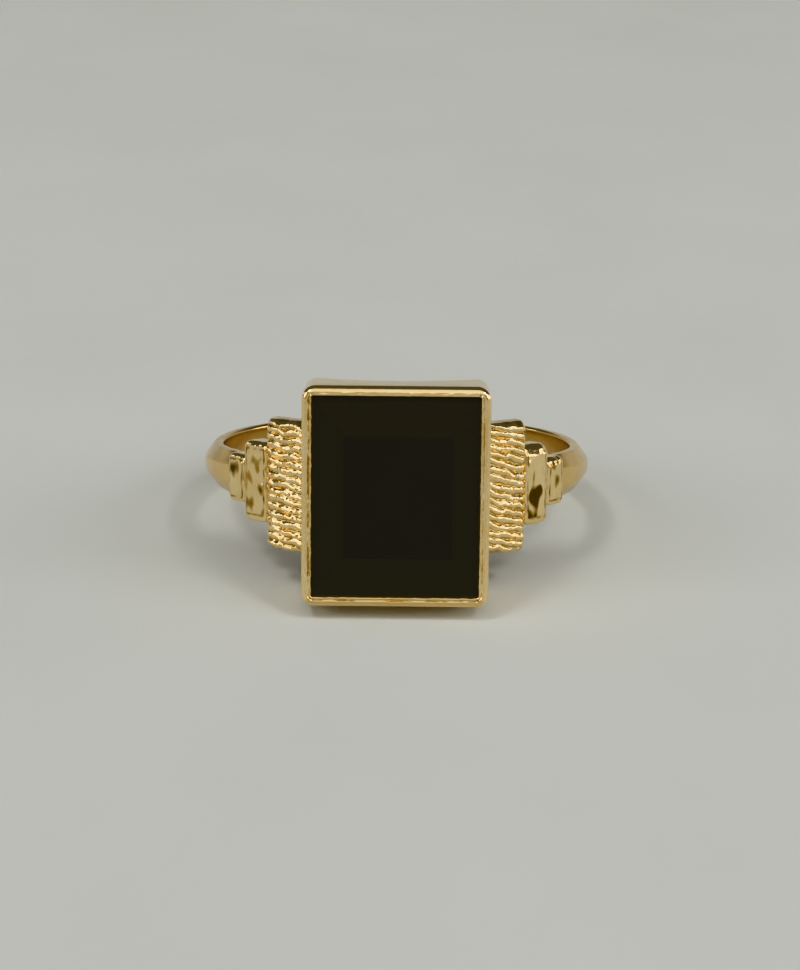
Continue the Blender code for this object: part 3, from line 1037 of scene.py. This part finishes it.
CAMERA_DISTANCE = 116
CAMERA_TILT = math.radians(9.87)  # up from the stone's axis
CAMERA_ROLL = math.radians(0.59)
CAMERA_RIGHT = 0.179  # off the line that runs through the hoop's centre
CAMERA_UP = -1.277
CAMERA_LENS = 105.4
CAMERA_SENSOR = 36
CAMERA_CLIP = (0.001, 20)  # metres


def make_floor():
    bpy.ops.mesh.primitive_plane_add(size=FLOOR_SIZE)
    floor = bpy.context.object
    floor.name = "floor"
    floor.data.materials.append(floor_material())


def make_world():
    """A dim studio with a pale haze round the horizon and a few large soft lights."""
    world = bpy.data.worlds.new("soft_studio")
    bpy.context.scene.world = world
    world.use_nodes = True
    tree = world.node_tree
    where = add(tree, "ShaderNodeTexCoord").outputs["Generated"]
    split = add(tree, "ShaderNodeSeparateXYZ")
    tree.links.new(where, split.inputs["Vector"])
    total = ramped(tree, split.outputs["Z"], *HAZE_TOP, 1.0, GLOOM / SKY[0], "SMOOTHSTEP")
    for direction, full, faded, brightness in SOFT_LIGHTS:
        towards = add(tree, "ShaderNodeVectorMath", operation="DOT_PRODUCT")
        tree.links.new(where, towards.inputs[0])
        towards.inputs[1].default_value = Vector(direction).normalized()
        edges = math.cos(math.radians(faded)), math.cos(math.radians(full))
        glow = ramped(tree, towards.outputs["Value"], *edges, 0.0, brightness / SKY[0], "SMOOTHSTEP")
        both = add(tree, "ShaderNodeMath", operation="ADD")
        tree.links.new(total, both.inputs[0])
        tree.links.new(glow, both.inputs[1])
        total = both.outputs[0]
    back = tree.nodes["Background"]
    back.inputs["Color"].default_value = (*SKY, 1)
    tree.links.new(total, back.inputs["Strength"])


def area_light(name, place, size, power):
    """A rectangular lamp turned towards the ring."""
    lamp = bpy.data.lights.new(name, "AREA")
    lamp.shape = "RECTANGLE"
    lamp.size, lamp.size_y = size
    lamp.energy = power
    made = bpy.data.objects.new(name, lamp)
    bpy.context.scene.collection.objects.link(made)
    made.location = place
    made.rotation_euler = (CENTRE - Vector(place)).to_track_quat("-Z", "Y").to_euler()


def make_camera():
    """The camera: in front of the head, a little above the stone's axis, and rolled slightly."""
    toward = math.sin(CAMERA_TILT) * ALONG + math.cos(CAMERA_TILT) * FACING
    level_up = math.cos(CAMERA_TILT) * ALONG - math.sin(CAMERA_TILT) * FACING
    up = math.cos(CAMERA_ROLL) * level_up - math.sin(CAMERA_ROLL) * ACROSS
    right = math.cos(CAMERA_ROLL) * ACROSS + math.sin(CAMERA_ROLL) * level_up
    place = CENTRE + CAMERA_DISTANCE * MM * toward + CAMERA_RIGHT * MM * right + CAMERA_UP * MM * up
    data = bpy.data.cameras.new("camera")
    data.sensor_fit = "HORIZONTAL"
    data.sensor_width = CAMERA_SENSOR
    data.lens = CAMERA_LENS
    data.clip_start, data.clip_end = CAMERA_CLIP
    camera = bpy.data.objects.new("camera", data)
    bpy.context.scene.collection.objects.link(camera)
    camera.matrix_world = Matrix.Translation(place) @ Matrix((right, up, toward)).transposed().to_4x4()
    bpy.context.scene.camera = camera


make_ring()
make_floor()
make_world()
for key_light in KEY_LIGHTS:
    area_light(*key_light)
bpy.context.scene.view_settings.view_transform = "Khronos PBR Neutral"
make_camera()
